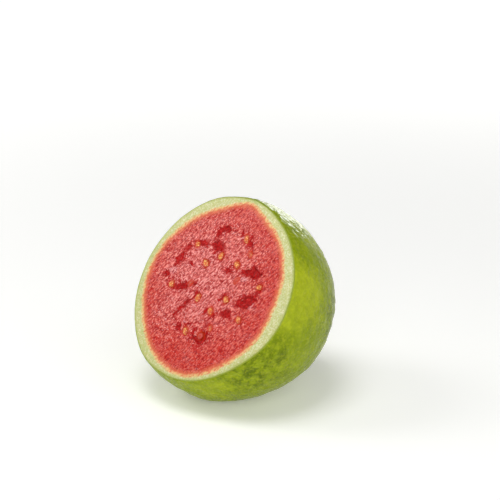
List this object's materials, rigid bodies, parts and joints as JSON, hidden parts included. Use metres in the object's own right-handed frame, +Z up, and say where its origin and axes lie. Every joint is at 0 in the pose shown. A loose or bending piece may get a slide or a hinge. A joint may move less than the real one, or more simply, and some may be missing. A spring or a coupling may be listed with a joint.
{
  "type": "guava half",
  "caption": "Round green guava with a slice cut off one side, showing pink flesh and small seeds, resting on a flat spot.",
  "frame": {"origin": "centre of the small flat spot that the fruit rests on, level with the surface", "axes": "+Z up; the cut face looks along -Y and up, 55.5 degrees from straight up; +X is across the cut face"},
  "size_m": [0.0779, 0.0706, 0.0748],
  "materials": {
    "fruit": "waxy yellow-green skin, pale green rind and moist coral-red flesh",
    "seed": "hard yellow seed with a thin moist film"
  },
  "bodies": {
    "root": {"fruit_half": "fruit", "seed_01": "seed", "seed_02": "seed", "seed_03": "seed", "seed_04": "seed", "seed_05": "seed", "seed_06": "seed", "seed_07": "seed", "seed_08": "seed", "seed_09": "seed", "seed_10": "seed", "seed_11": "seed", "seed_12": "seed", "seed_13": "seed", "seed_14": "seed", "seed_15": "seed", "seed_16": "seed", "seed_17": "seed"}
  },
  "joints": []
}
